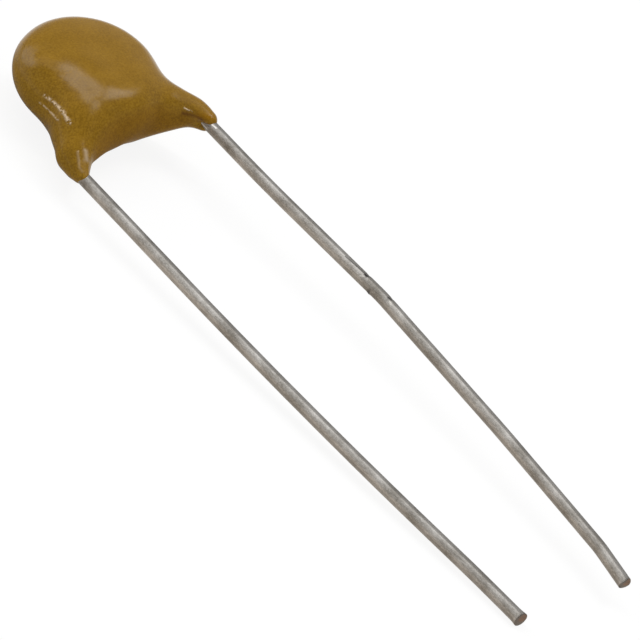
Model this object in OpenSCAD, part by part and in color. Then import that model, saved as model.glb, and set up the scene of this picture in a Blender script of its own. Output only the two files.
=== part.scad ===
// Ceramic disc capacitor, lying on a table as it comes to rest.
//
// A ceramic disc carries a silver electrode on each face. A tinned wire is
// soldered across each face and leaves the disc as a leg. Disc and legs are
// dipped in one hard brown coat that thins out where the wires come free.
//
// Millimetres. The leads run along -Y, the disc lies at +Y, the table is z = 0.
// The body is first built in the plane of the two leads: x across the leads,
// y along them towards the disc, z out of the front face.

/* [Ceramic] */
// Diameter of the ceramic disc
ceramic_d = 4.8; // [4.4:0.1:5.4]
// Thickness of the ceramic disc
ceramic_t = 1.2; // [0.9:0.1:1.5]
// Bare ceramic left around each electrode
bare_rim = 0.25; // [0.1:0.05:0.4]
// Thickness of each silver electrode
electrode_t = 0.03; // [0.02:0.01:0.06]

/* [Leads] */
// Diameter of the tinned wire
wire_d = 0.51; // [0.45:0.01:0.55]
// Distance between the two leads where they leave the coat
lead_spacing = 6.6; // [6.2:0.1:7.6]
// Straight length at the free end of the left lead
left_end = 1.75; // [1:0.25:10]
// Straight length at the free end of the right lead
right_end = 1.5; // [1:0.25:10]
// Lean of the left lead towards the right one as it leaves the coat, degrees
left_lean = 0.8; // [0:0.1:2]
// Sharp nip in the right lead left by a tool, degrees
nip = 5.1; // [0:0.1:8]

/* [Solder] */
// Solder between the wire and the electrode
solder_film = 0.05; // [0.04:0.01:0.08]
// Solder lying over the back of the wire
solder_cover = 0.05; // [0.04:0.01:0.08]
// Width of the solder bead where it wets the electrode
solder_w = 1.3; // [1:0.05:1.5]

/* [Coat over the disc] */
// Coat beyond the edge of the ceramic
edge_coat = 0.5; // [0.4:0.05:0.8]
// Coat over the wire at the middle of each face
face_coat = 0.21; // [0.18:0.01:0.4]
// Rise of each face from its rounded rim to its middle
dome = 0.25; // [0.15:0.05:0.35]
// Distance from the middle of the lead spacing to the disc's centre
disc_shift = 0.18; // [-0.3:0.02:0.3]
// Height of the disc's mid plane above the plane of the leads
disc_lift = 0.18; // [0.1:0.02:0.24]
// Distance from the lead exits to the near edge of the ceramic
neck = 1.9; // [1.8:0.1:2.6]

/* [Coat over the legs] */
// Straight wire in the left leg before it bends inward
left_run = 0.2; // [0.1:0.05:0.4]
// Bend radius of the wire in the left leg
left_bend = 1.2; // [0.8:0.1:1.3]
// How far under the disc's centre the left wire passes
left_aim = 0.4; // [0.1:0.1:0.6]
// Coat on the wire at the bend of the left leg
left_coat = 0.35; // [0.3:0.05:0.6]
// Coat on the wire at the foot of the left leg
left_foot = 0.035; // [0.03:0.005:0.2]
// Straight wire in the right leg before it bends inward
right_run = 0.85; // [0.4:0.05:1]
// Bend radius of the wire in the right leg
right_bend = 0.6; // [0.5:0.1:1]
// How far under the disc's centre the right wire passes
right_aim = 0.28; // [0.1:0.1:0.6]
// Coat on the wire at the bend of the right leg
right_coat = 0.3; // [0.3:0.05:0.6]
// Coat on the wire at the foot of the right leg
right_foot = 0.185; // [0.05:0.005:0.25]
// Wire left bare above the lead exit line on the right
right_bare = 0.3; // [0:0.05:0.4]
// Extra coat where each leg runs out over the solder
swell = 0.15; // [0.05:0.05:0.3]
// Width over which the coat of disc and legs flows together
blend = 0.7; // [0.5:0.05:1]
// Width over which the two legs are webbed together
web = 2.05; // [1.5:0.05:2.5]

/* [Hidden] */
$fn = 48;
left = -1;
right = 1;

// Layers on each face, counted outward from the ceramic
ceramic_r = ceramic_d / 2;
electrode_r = ceramic_r - bare_rim;
film_z = ceramic_t / 2 + electrode_t;
wire_z = film_z + solder_film + wire_d / 2;

// Domed disc of coat with a round rim
disc_h = wire_z + wire_d / 2 + face_coat;
disc_r = ceramic_r + edge_coat;
rim_r = disc_h - dome;
rim_at = disc_r - rim_r;
dome_r = (rim_at * rim_at + dome * dome) / (2 * dome);
centre = [disc_shift, ceramic_r + neck, disc_lift];

// Wire inside each leg: it bends inward, then jogs up to its face
jog_bend = 0.6;
jog_clear = 0.1;
lap_past = 0.9;

// Coat at the foot, the bend and the root of each leg
leg_blend = 0.4;
left_bare = 0.02;
left_past = 0.4;
right_past = 0.75;
left_root_z = 0.05;
right_root_z = -0.3;

// Mesh of the coat: stations on each leg, columns round the disc and the feet
foot_stations = 6;
bend_stations = 10;
root_stations = 6;
disc_columns = 36;
foot_columns = 14;
rows = 18;
bend_heading = 45;
march_steps = 30;

// Joint balls stand this far proud so that every bend welds into one wire
weld = 0.002;

// Spacing on one side, from the lead to the disc's centre
function across(side) = lead_spacing / 2 - side * disc_shift;
function run(side) = side == left ? left_run : right_run;
function bend(side) = side == left ? left_bend : right_bend;
function aim(side) = side == left ? left_aim : right_aim;
function bare(side) = side == left ? left_bare : right_bare;
function foot_r(side) = wire_d / 2 + (side == left ? left_foot : right_foot);
function bend_r(side) = wire_d / 2 + (side == left ? left_coat : right_coat);
function root_z(side) = side == left ? left_root_z : right_root_z;
function past(side) = side == left ? left_past : right_past;

// Angle through which the wire bends so that its line passes under the centre
function flare(side) =
    let (
        a = across(side) - bend(side),
        b = centre.y - run(side)
    )
    atan2(a, b) + asin((bend(side) + aim(side)) / norm([a, b]));

// Direction of the leg beyond its bend, and the points that set its coat
function leg_dir(side) = [-side * sin(flare(side)), cos(flare(side)), 0];
function bend_end(side) = [
    side * (lead_spacing / 2 - bend(side) * (1 - cos(flare(side)))),
    run(side) + bend(side) * sin(flare(side)),
    0
];
function foot_end(side) = [
    side * lead_spacing / 2,
    bare(side) + sqrt(foot_r(side) ^ 2 - wire_d ^ 2 / 4),
    0
];

// Distance along the leg from its bend to the point nearest the centre
function leg_mid(side) =
    let (c = [centre.x, centre.y, 0])
    (c - bend_end(side)) * leg_dir(side);

// Distance along the leg from its bend to the edge of the ceramic
function leg_edge(side) = leg_mid(side) - sqrt(ceramic_r ^ 2 - aim(side) ^ 2);
function root_end(side) =
    bend_end(side) + (leg_edge(side) + past(side)) * leg_dir(side) + [0, 0, root_z(side)];

// Rise of the wire from the plane of the leads to its face of the disc
function rise(side) = wire_z - side * centre.z;

// Smaller of two gaps with the corner between them filled to width k
function smooth_min(a, b, k) =
    let (h = max(k - abs(a - b), 0) / k)
    min(a, b) - h * h * h * k / 6;

// Path of a ball that rolls from a to b while its radius goes from ra to rb,
// as [start, direction, length, radius, growth, lean of its skin]
function roll_path(a, b, ra, rb) =
    let (
        l = norm(b - a),
        grow = (rb - ra) / l
    )
    [a, (b - a) / l, l, ra, grow, grow / sqrt(1 - grow ^ 2)];
leg_paths = [
    for (side = [left, right]) [
        roll_path(foot_end(side), bend_end(side), foot_r(side), bend_r(side)),
        roll_path(bend_end(side), root_end(side), bend_r(side), disc_h + swell)
    ]
];

// Gap from p to the skin of a rolling ball
function roll_gap(p, path) =
    let (
        q = p - path[0],
        along = q * path[1],
        off = norm(q - along * path[1]),
        t = max(0, min(path[2], along + off * path[5]))
    )
    norm([along - t, off]) - path[3] - path[4] * t;

// Gap from p to the domed disc
function disc_gap(p) =
    let (
        rho = norm([p.x - centre.x, p.y - centre.y]),
        z = abs(p.z - centre.z),
        sink = dome_r - dome
    )
    (rho * sink > rim_at * (z + sink)
        ? norm([rho - rim_at, z])
        : norm([rho, z + sink]) - dome_r) - rim_r;

// Gap from p to one leg, made of a lower and an upper rolling ball
function leg_gap(p, leg) = smooth_min(roll_gap(p, leg[0]), roll_gap(p, leg[1]), leg_blend);

// Gap from p to the whole coat, negative inside
function coat_gap(p) =
    smooth_min(
        disc_gap(p),
        smooth_min(leg_gap(p, leg_paths[0]), leg_gap(p, leg_paths[1]), web),
        blend
    );

// Walk from p in direction d to the skin of the coat
function skin(p, d, n = march_steps) =
    n == 0 ? p : skin(p - coat_gap(p) * d, d, n - 1);

// Skeleton of the coat: station 0 is the disc's centre, negative stations run
// down the left leg and positive ones down the right leg
stations = root_stations + bend_stations + foot_stations;
function blend_point(a, b, t) = a + (b - a) * t;
function station(j) =
    let (
        side = sign(j),
        i = abs(j)
    )
    i == 0 ? centre
    : i <= root_stations
        ? blend_point(centre, root_end(side), i / root_stations)
    : i <= root_stations + bend_stations
        ? blend_point(root_end(side), bend_end(side), (i - root_stations) / bend_stations)
    : blend_point(
        bend_end(side), foot_end(side), (i - root_stations - bend_stations) / foot_stations
    );

// Turn of the inner columns from straight down under the disc to level at the
// foot, so that they fan out over the web without crossing
function inward(i) =
    let (
        upper = max(0, i - root_stations) / bend_stations,
        lower = max(0, i - root_stations - bend_stations) / foot_stations
    )
    bend_heading * min(1, upper) + (90 - bend_heading) * lower;

// Columns of the skin as [station, heading], once round the outline: over the
// disc, down the left leg, up its inner side, then the same on the right
columns = concat(
    [for (k = [0 : disc_columns]) [0, 180 * k / disc_columns]],
    [for (j = [1 : stations]) [-j, 180]],
    [for (k = [1 : foot_columns]) [-stations, 180 + 180 * k / foot_columns]],
    [for (j = [stations - 1 : -1 : 0]) [-j, 270 + inward(j)]],
    [for (j = [1 : stations - 1]) [j, 270 - inward(j)]],
    [for (k = [0 : foot_columns]) [stations, 180 + 180 * k / foot_columns]],
    [for (j = [stations - 1 : -1 : 1]) [j, 360]]
);

// Skin points of one column from just under its top to just above its bottom
function column_points(c) = [
    for (r = [1 : rows - 1])
        let (tilt = 90 - 180 * r / rows)
        skin(station(c[0]), [cos(c[1]) * cos(tilt), sin(c[1]) * cos(tilt), sin(tilt)])
];
tops = [for (j = [-stations : stations]) skin(station(j), [0, 0, 1])];
bottoms = [for (j = [-stations : stations]) skin(station(j), [0, 0, -1])];
sides = [for (c = columns) each column_points(c)];
coat_points = concat(tops, bottoms, sides);

// Index of the point in row r of column i; the columns close on themselves
function at(i, r) =
    let (
        k = i % len(columns),
        j = columns[k][0] + stations,
        count = 2 * stations + 1
    )
    r == 0 ? j
    : r == rows ? count + j
    : 2 * count + k * (rows - 1) + r - 1;
coat_faces = [
    for (i = [0 : len(columns) - 1], r = [0 : rows - 1])
        let (
            a = at(i, r),
            b = at(i + 1, r),
            c = at(i + 1, r + 1),
            d = at(i, r + 1)
        )
        each concat(a == b ? [] : [[a, b, c]], c == d ? [] : [[a, c, d]])
];

// Steps of each wire as [run, bend angle, bend radius, roll], going both ways
// from the place inside the foot where the wire begins to bend inward
left_outside = [
    [left_run + 5.5, 3.5, 240, 0],
    [0.9, -1.5, 40, 0],
    [left_end, 0, 0, 0]
];
right_outside = [
    [right_run + 2, 2.2, 60, 0],
    [5.2, -nip, 6, 0],
    [6.1, -1.6, 60, 0],
    [4.8, -6.6, 4, 0],
    [right_end, 0, 0, 0]
];
function inside(side) =
    let (
        room = leg_edge(side) - 2 * jog_clear,
        slant = sqrt(room ^ 2 + rise(side) ^ 2 - 4 * jog_bend * rise(side)),
        turn = atan2(rise(side) - 2 * jog_bend, room) + atan2(2 * jog_bend, slant),
        lap = leg_mid(side) - leg_edge(side) + jog_clear + lap_past
    )
    [
        [0, flare(side), bend(side), 0],
        [jog_clear, turn, jog_bend, -90],
        [slant, -turn, jog_bend, -90],
        [lap, 0, 0, 0]
    ];

// Plan position of the end of a wire that starts at p with the given heading
function wire_tip(steps, p, heading, i = 0) =
    let (
        s = steps[i],
        q = p + s[0] * [sin(heading), -cos(heading)],
        turned = heading + s[1],
        arm = s[2] * sign(s[1])
    )
    i == len(steps) - 1 ? q
    : wire_tip(
        steps,
        q + arm * [cos(heading) - cos(turned), sin(heading) - sin(turned)],
        turned,
        i + 1
    );
left_tip = wire_tip(left_outside, [-lead_spacing / 2, left_run], left_lean);
right_tip = wire_tip(right_outside, [lead_spacing / 2, right_run], 0);

// Slope of the table under the body: it touches the coat under each leg and
// the lower of the two wire ends
left_half = [for (p = coat_points) if (p.x < centre.x) p];
right_half = [for (p = coat_points) if (p.x >= centre.x) p];
wire_ends = [
    for (tip = [left_tip, right_tip], a = [240 : 2 : 300])
        [tip.x + wire_d / 2 * cos(a), tip.y, wire_d / 2 * sin(a)]
];
function above(p, slope) = p.z - slope.x * p.x - slope.y * p.y;
function lowest(points, slope) =
    let (heights = [for (p = points) above(p, slope)])
    points[search(min(heights), heights)[0]];
function slope_of(p, q, r) =
    let (n = cross(q - p, r - p))
    [-n.x / n.z, -n.y / n.z];
function settle(slope, n) =
    n == 0 ? slope
    : settle(
        slope_of(lowest(left_half, slope), lowest(right_half, slope), lowest(wire_ends, slope)),
        n - 1
    );
table = settle([0, 0], 6);
lie = [atan(-table.y), atan(table.x / sqrt(1 + table.y ^ 2)), 0];

// A point after the body has been turned to lie flat
function turned_x(p) = p * [cos(lie.y), sin(lie.x) * sin(lie.y), cos(lie.x) * sin(lie.y)];
function turned_y(p) = p * [0, cos(lie.x), -sin(lie.x)];
function turned_z(p) = p * [-sin(lie.y), sin(lie.x) * cos(lie.y), cos(lie.x) * cos(lie.y)];
all_points = concat(coat_points, wire_ends);
body_x = [for (p = coat_points) turned_x(p)];
body_y = [for (p = all_points) turned_y(p)];
body_z = [for (p = all_points) turned_z(p)];
to_middle = -[(min(body_x) + max(body_x)) / 2, (min(body_y) + max(body_y)) / 2, min(body_z)];

// Turn from the plane of the leads to the table
module lay() {
    translate(to_middle)
        rotate(lie)
            children();
}

// Round wire along +Z through a list of steps
module wire(steps, i = 0) {
    length = steps[i][0];
    angle = abs(steps[i][1]);
    radius = steps[i][2];
    roll = steps[i][3] + (steps[i][1] < 0 ? 180 : 0);
    if (length > 0)
        cylinder(d = wire_d, h = length);
    if (i < len(steps) - 1)
        translate([0, 0, length])
            rotate([0, 0, roll]) {
                sphere(d = wire_d + 2 * weld);
                if (angle > 0)
                    translate([radius, 0, 0])
                        rotate(a = 180, v = [0, 1, 1])
                            rotate_extrude(angle = angle)
                                translate([radius, 0])
                                    circle(d = wire_d);
                translate([radius * (1 - cos(angle)), 0, radius * sin(angle)])
                    rotate([0, angle, 0])
                        rotate([0, 0, -roll]) {
                            sphere(d = wire_d + 2 * weld);
                            wire(steps, i + 1);
                        }
            }
}

// One whole wire: the free lead below the exit and the part inside the leg
module lead(side, steps, lean) {
    translate([side * lead_spacing / 2, run(side), 0]) {
        rotate([90, 0, 0])
            rotate([0, lean, 0])
                wire(steps);
        rotate([0, side == left ? 0 : 180, 0])
            rotate([-90, 0, 0])
                wire(inside(side));
    }
}

module left_wire() {
    lead(left, left_outside, left_lean);
}

module right_wire() {
    lead(right, right_outside, 0);
}

module ceramic() {
    translate(centre)
        cylinder(d = ceramic_d, h = ceramic_t, center = true);
}

// Silver layer on one face; face is 1 for the front and -1 for the back
module electrode(face) {
    translate(centre + [0, 0, face * (ceramic_t + electrode_t) / 2])
        cylinder(r = electrode_r, h = electrode_t, center = true);
}

// Half of the solder bead's cross-section, from its middle to its edge
module bead_profile() {
    height = solder_film + wire_d + solder_cover;
    bead_r = (height ^ 2 + solder_w ^ 2 / 4) / (2 * height);
    intersection() {
        translate([0, height - bead_r])
            circle(r = bead_r);
        square([solder_w, 2 * height]);
    }
}

// Solder bead along the wire, round at both ends, before the wire is cut out
module bead(side) {
    face = -side;
    length = leg_mid(side) - leg_edge(side) + lap_past - bare_rim - solder_w / 2;
    start = leg_edge(side) + bare_rim + solder_w / 2;
    translate(bend_end(side) + start * leg_dir(side) + [0, 0, centre.z + face * film_z])
        rotate([0, side == left ? 0 : 180, 0])
            rotate([0, 0, -flare(side)]) {
                rotate_extrude()
                    bead_profile();
                translate([0, length, 0]) {
                    rotate_extrude()
                        bead_profile();
                    rotate([90, 0, 0])
                        linear_extrude(length) {
                            bead_profile();
                            mirror([1, 0])
                                bead_profile();
                        }
                }
            }
}

module coating() {
    color([0.55, 0.4, 0.16])
        lay()
            difference() {
                polyhedron(coat_points, coat_faces);
                left_wire();
                right_wire();
                ceramic();
                electrode(1);
                electrode(-1);
                bead(left);
                bead(right);
            }
}

module ceramic_disc() {
    color([0.8, 0.74, 0.64])
        lay()
            ceramic();
}

module electrode_front() {
    color([0.85, 0.85, 0.84])
        lay()
            electrode(1);
}

module electrode_back() {
    color([0.85, 0.85, 0.84])
        lay()
            electrode(-1);
}

module solder_front() {
    color([0.7, 0.7, 0.7])
        lay()
            difference() {
                bead(left);
                left_wire();
            }
}

module solder_back() {
    color([0.7, 0.7, 0.7])
        lay()
            difference() {
                bead(right);
                right_wire();
            }
}

module lead_left() {
    color([0.6, 0.58, 0.54])
        lay()
            left_wire();
}

module lead_right() {
    color([0.6, 0.58, 0.54])
        lay()
            right_wire();
}

coating();
ceramic_disc();
electrode_front();
electrode_back();
solder_front();
solder_back();
lead_left();
lead_right();
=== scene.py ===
# %% [markdown]
# # A ceramic disc capacitor
#
# The finished part is a small brown drop with two tinned legs, lying on a
# table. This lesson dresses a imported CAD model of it. The CAD gives every
# piece its true size and place. Here each surface gets the shape and finish
# that the real thing shows: a dipped coat, drawn wire and cut wire ends.

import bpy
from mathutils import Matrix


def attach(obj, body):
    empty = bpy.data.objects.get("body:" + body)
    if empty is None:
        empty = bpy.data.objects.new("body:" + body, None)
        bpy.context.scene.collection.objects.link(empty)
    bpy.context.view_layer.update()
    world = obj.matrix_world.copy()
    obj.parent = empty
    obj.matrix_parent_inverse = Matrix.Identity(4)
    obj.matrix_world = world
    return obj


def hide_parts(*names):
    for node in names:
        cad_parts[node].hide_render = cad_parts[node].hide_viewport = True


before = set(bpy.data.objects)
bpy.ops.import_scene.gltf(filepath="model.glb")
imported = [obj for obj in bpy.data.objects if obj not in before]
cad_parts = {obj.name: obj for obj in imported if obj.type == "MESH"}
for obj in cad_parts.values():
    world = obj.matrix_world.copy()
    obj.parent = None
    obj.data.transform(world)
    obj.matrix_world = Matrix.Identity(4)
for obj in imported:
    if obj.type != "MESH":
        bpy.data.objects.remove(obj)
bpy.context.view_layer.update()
print("nodes:", ", ".join(sorted(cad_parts)))

# %% [markdown]
# ## Sizes that several pieces share
#
# A lead wire of half a millimetre carries the disc. The wires stand 6.6 mm
# apart, and the middle of the disc lies a little off the middle of the two.
# The part's own sizes are in millimetres. The floor, the lamps and every
# place on the table are in metres.

# %% Shared sizes
from math import asin, atan2, cos, degrees, hypot, pi, radians, sin, sqrt

import bpy
from mathutils import Euler, Matrix, Vector

MM = 0.001
WIRE_R = 0.255
SPACING = 6.6
CENTRE = Vector((0.18, 4.3, 0.18))

collection = bpy.context.scene.collection
print("wire is", 2 * WIRE_R, "mm thick and the pitch is", SPACING, "mm")

# %% [markdown]
# ## From the plane of the leads to the table
#
# The part is easiest to describe in the plane of its two leads: x across the
# leads, y along them towards the disc and z out of the front face. It doesn't
# lie on the table like that. It rests on the two humps of coat under its legs
# and on the tip of its left lead, so the whole is turned a few degrees. `LAY`
# takes a point from one to the other.

# %% The turn and shift that lay the part down
LIE = Euler((radians(2.36307), radians(-8.44959), 0))
TO_MIDDLE = Vector((-0.0725791, 8.64723, 1.5722))
LAY = Matrix.Scale(MM, 4) @ Matrix.Translation(TO_MIDDLE) @ LIE.to_matrix().to_4x4()

exit_left = LAY @ Vector((-SPACING / 2, 0, 0))
print("left lead leaves the coat at", tuple(round(v, 5) for v in exit_left))

# %% [markdown]
# ## The camera
#
# A long lens looks down on the front face from beyond the left lead. Its
# place is an orbit round a point between the leads: height above their
# plane, bearing round it, a roll about the view line and a distance. Such
# values are easier to adjust than a bare place and rotation.

# %% Place the camera
ORBIT_HEIGHT = radians(42.221)
ORBIT_BEARING = radians(-57.076)
ROLL = radians(23.057)
TARGET = Vector((0.471, -9.645, 0))
DISTANCE = 117.39
LENS_MM = 180
SENSOR_MM = 36
NEAREST = 0.01

out = Vector((
    cos(ORBIT_HEIGHT) * sin(ORBIT_BEARING),
    -cos(ORBIT_HEIGHT) * cos(ORBIT_BEARING),
    sin(ORBIT_HEIGHT),
))
eye = TARGET + DISTANCE * out
level = Vector((cos(ORBIT_BEARING), sin(ORBIT_BEARING), 0))
upright = level.cross(-out)
right = cos(ROLL) * level + sin(ROLL) * upright
above = -sin(ROLL) * level + cos(ROLL) * upright

turn = LIE.to_matrix()
view_axes = Matrix((turn @ right, turn @ above, turn @ out)).transposed()
camera_data = bpy.data.cameras.new("camera")
camera_data.lens = LENS_MM
camera_data.sensor_width = SENSOR_MM
camera_data.clip_start = NEAREST
camera = bpy.data.objects.new("camera", camera_data)
camera.matrix_world = Matrix.Translation(LAY @ eye) @ view_axes.to_4x4()
collection.objects.link(camera)
bpy.context.scene.camera = camera
print("camera at", tuple(round(v, 4) for v in camera.location))

# %% [markdown]
# ## Node trees written as arithmetic
#
# The coat and the wires are made by geometry nodes, and every finish by
# shader nodes. A tree of maths nodes is hard to read as a list of links, so
# this helper lets the formulas be written down plainly. Every call adds a
# node or two and gives back the result.


# %% A helper that writes node trees
class Tree:
    def __init__(self, tree):
        self.tree = tree
        self.inputs = self.outputs = None

    def takes(self, name, kind, value=None):
        """Gives the tree a named input."""
        socket = self.tree.interface.new_socket(
            name, in_out="INPUT", socket_type=f"NodeSocket{kind}")
        if value is not None:
            socket.default_value = value
        if self.inputs is None:
            self.inputs = self.tree.nodes.new("NodeGroupInput")
        return self.inputs.outputs[name]

    def takes_all(self, kind, *names):
        return [self.takes(name, kind) for name in names]

    def gives(self, name, kind, value):
        """Gives the tree a named output."""
        self.tree.interface.new_socket(
            name, in_out="OUTPUT", socket_type=f"NodeSocket{kind}")
        if self.outputs is None:
            self.outputs = self.tree.nodes.new("NodeGroupOutput")
        self.tree.links.new(value, self.outputs.inputs[name])

    def put(self, socket, value):
        """Links a result to a socket, or sets a plain value on it."""
        if isinstance(value, bpy.types.NodeSocket):
            self.tree.links.new(value, socket)
        else:
            socket.default_value = value

    def node(self, kind, settings=None, **values):
        node = self.tree.nodes.new(kind)
        for name, value in (settings or {}).items():
            setattr(node, name, value)
        for name, value in values.items():
            self.put(node.inputs[name.replace("_", " ")], value)
        return node

    def group(self, other, **values):
        """Places another tree in this one."""
        kind = "Shader" if self.tree.type == "SHADER" else "Geometry"
        return self.node(kind + "NodeGroup", {"node_tree": other.tree}, **values).outputs

    def math(self, operation, *values):
        node = self.node("ShaderNodeMath", {"operation": operation})
        for socket, value in zip(node.inputs, values):
            self.put(socket, value)
        return node.outputs[0]

    def times(self, a, b):
        return self.math("MULTIPLY", a, b)

    def minus(self, a, b):
        return self.math("SUBTRACT", a, b)

    def over(self, a, b):
        return self.math("DIVIDE", a, b)

    def most(self, a, b):
        return self.math("MAXIMUM", a, b)

    def hypot(self, a, b):
        return self.math("SQRT", self.math("MULTIPLY_ADD", a, a, self.times(b, b)))

    def bell(self, away):
        """A smooth hump: 1 where away is 0, and almost 0 beyond 2."""
        return self.math("EXPONENT", self.times(self.times(away, away), -1.0))

    def noise(self, place, scale, detail=2.0):
        return self.node("ShaderNodeTexNoise", Vector=place, Scale=scale,
                         Detail=detail).outputs[0]

    def vector(self, operation, *values):
        node = self.node("ShaderNodeVectorMath", {"operation": operation})
        for socket, value in zip(node.inputs, values):
            self.put(socket, value)
        number = operation in ("DOT_PRODUCT", "LENGTH", "DISTANCE")
        return node.outputs["Value" if number else "Vector"]

    def scale(self, vector, factor):
        node = self.node("ShaderNodeVectorMath", {"operation": "SCALE"}, Scale=factor)
        self.put(node.inputs[0], vector)
        return node.outputs["Vector"]

    def parts(self, vector):
        return self.node("ShaderNodeSeparateXYZ", Vector=vector).outputs

    def whole(self, **parts):
        return self.node("ShaderNodeCombineXYZ", **parts).outputs[0]


print("tree helper ready")

# %% [markdown]
# ### Geometry steps that both shapes need
#
# Geometry nodes work on a shape in steps. Four of them come back again and
# again: ask where each point is, move it, remember a value on it, and at the
# end lay the whole shape on the table in metres.


# %% A helper for geometry trees
class Shape(Tree):
    def __init__(self, name):
        super().__init__(bpy.data.node_groups.new(name, "GeometryNodeTree"))

    def here(self):
        return self.node("GeometryNodeInputPosition").outputs[0]

    def normal(self):
        return self.node("GeometryNodeInputNormal").outputs[0]

    def move(self, shape, offset):
        return self.node("GeometryNodeSetPosition", Geometry=shape, Offset=offset).outputs[0]

    def remember(self, shape, name, value, kind="FLOAT_VECTOR"):
        return self.node("GeometryNodeStoreNamedAttribute", {"data_type": kind},
                         Geometry=shape, Name=name, Value=value).outputs[0]

    def lay_down(self, shape):
        """Turns a shape in the plane of the leads to its place on the table."""
        shape = self.node("GeometryNodeTransform", Geometry=shape,
                          Translation=TO_MIDDLE, Rotation=LIE).outputs[0]
        shape = self.node("GeometryNodeTransform", Geometry=shape,
                          Scale=(MM, MM, MM)).outputs[0]
        shape = self.node("GeometryNodeSetShadeSmooth", Geometry=shape).outputs[0]
        return self.node("GeometryNodeRealizeInstances", Geometry=shape).outputs[0]

    def dress(self, shape, finish):
        """Gives the shape its material and hands it out of the tree."""
        shape = self.node("GeometryNodeSetMaterial", Geometry=shape,
                          Material=finish.material).outputs[0]
        self.gives("Geometry", "Geometry", shape)


print("geometry helper ready")

# %% [markdown]
# ### From a tree to a mesh
#
# A modifier left on a piece would be worked out again in every file that
# uses it. So each tree runs once on a helper object, with its inputs set by
# their identifiers, and only the plain mesh is kept.


# %% Run a tree and keep the result as a plain mesh
def make_mesh(name, source, shape, inputs):
    maker = bpy.data.objects.new(name + "_maker", source)
    collection.objects.link(maker)
    modifier = maker.modifiers.new("tree", "NODES")
    modifier.node_group = shape.tree
    for item in shape.tree.interface.items_tree:
        if item.in_out == "INPUT" and item.name in inputs:
            modifier[item.identifier] = inputs[item.name]
    evaluated = maker.evaluated_get(bpy.context.evaluated_depsgraph_get())
    mesh = bpy.data.meshes.new_from_object(evaluated)
    bpy.data.objects.remove(maker)
    mesh.name = name
    piece = bpy.data.objects.new(name, mesh)
    collection.objects.link(piece)
    print(name, "has", len(mesh.polygons), "faces")
    return piece


print("trees can be run")

# %% [markdown]
# ## The shape of the coat
#
# A dipped coat has no edges. It is a domed disc with a round rim, and two
# legs that run down onto the wires, all flowed together like honey. It could
# be sculpted, but a *gap field* describes exactly this: a formula that tells
# how far a point is from the skin, negative inside. Its parts are few.
#
# - The disc is a dome with a rounded rim.
# - Each leg is a ball that rolls along the wire while it grows.
# - A smooth minimum joins two gaps and fills the corner between them.

# %% The gap to a ball that rolls and grows
rolling = Shape("rolling ball")
place, start, end = rolling.takes_all("Vector", "Place", "Start", "End")
start_r, end_r = rolling.takes_all("Float", "Start radius", "End radius")
reach = rolling.vector("SUBTRACT", end, start)
length = rolling.vector("LENGTH", reach)
direction = rolling.vector("NORMALIZE", reach)
grow = rolling.over(rolling.minus(end_r, start_r), length)
steep = rolling.math("SQRT", rolling.minus(1.0, rolling.times(grow, grow)))
offset = rolling.vector("SUBTRACT", place, start)
along = rolling.vector("DOT_PRODUCT", offset, direction)
aside = rolling.vector("DISTANCE", offset, rolling.scale(direction, along))
lean = rolling.math("MULTIPLY_ADD", aside, rolling.over(grow, steep), along)
at = rolling.math("MINIMUM", rolling.most(lean, 0.0), length)
off = rolling.hypot(rolling.minus(along, at), aside)
rolling.gives("Gap", "Float", rolling.minus(rolling.minus(off, start_r), rolling.times(grow, at)))
print("gap group:", rolling.tree.name)

# %% [markdown]
# ### The disc
#
# Cut through, the disc is a shallow arc that meets a small round rim. A
# squashed sphere would be simpler, but its rim is too sharp. So the gap is
# taken to the arc or to the rim, whichever a point faces.

# %% The gap to a domed disc with a round rim
domed = Shape("domed disc")
place, middle = domed.takes_all("Vector", "Place", "Middle")
radius, thick, dome = domed.takes_all("Float", "Radius", "Half thickness", "Dome")
rim_r = domed.minus(thick, dome)
rim_at = domed.minus(radius, rim_r)
dome_r = domed.over(
    domed.math("MULTIPLY_ADD", rim_at, rim_at, domed.times(dome, dome)), domed.times(dome, 2.0))
sink = domed.minus(dome_r, dome)
offset = domed.parts(domed.vector("SUBTRACT", place, middle))
rho = domed.hypot(offset["X"], offset["Y"])
high = domed.math("ABSOLUTE", offset["Z"])
from_ball = domed.math("ADD", high, sink)
to_rim = domed.hypot(domed.minus(rho, rim_at), high)
to_ball = domed.minus(domed.hypot(rho, from_ball), dome_r)
outside = domed.math("GREATER_THAN", domed.times(rho, sink), domed.times(rim_at, from_ball))
chosen = domed.math("MULTIPLY_ADD", outside, domed.minus(to_rim, to_ball), to_ball)
domed.gives("Gap", "Float", domed.minus(chosen, rim_r))
print("gap group:", domed.tree.name)

# %% [markdown]
# ### Where the legs run
#
# Each wire stands straight in the foot of its leg, then bends inward and
# aims just under the disc's centre. The coat is thin at the foot, thicker at
# the bend and thickest where the wire runs out over the solder. Those three
# balls are worked out from the same sizes as the wire's own path, so coat
# and wire always agree.

# %% Legs worked out from the wire's path
CERAMIC_R = 2.4

LEGS = {
    # where the wire starts to bend, the bend's radius and how far it passes the
    # centre; then the coat: lowest point, radii, and where the leg's root ends
    "left": dict(side=-1, run=0.2, bend=1.2, aim=0.4,
                 bare=0.02, foot=0.29, knee=0.605, past=0.4, root_z=0.05),
    "right": dict(side=1, run=0.85, bend=0.6, aim=0.28,
                  bare=0.3, foot=0.44, knee=0.555, past=0.75, root_z=-0.3),
}


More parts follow.
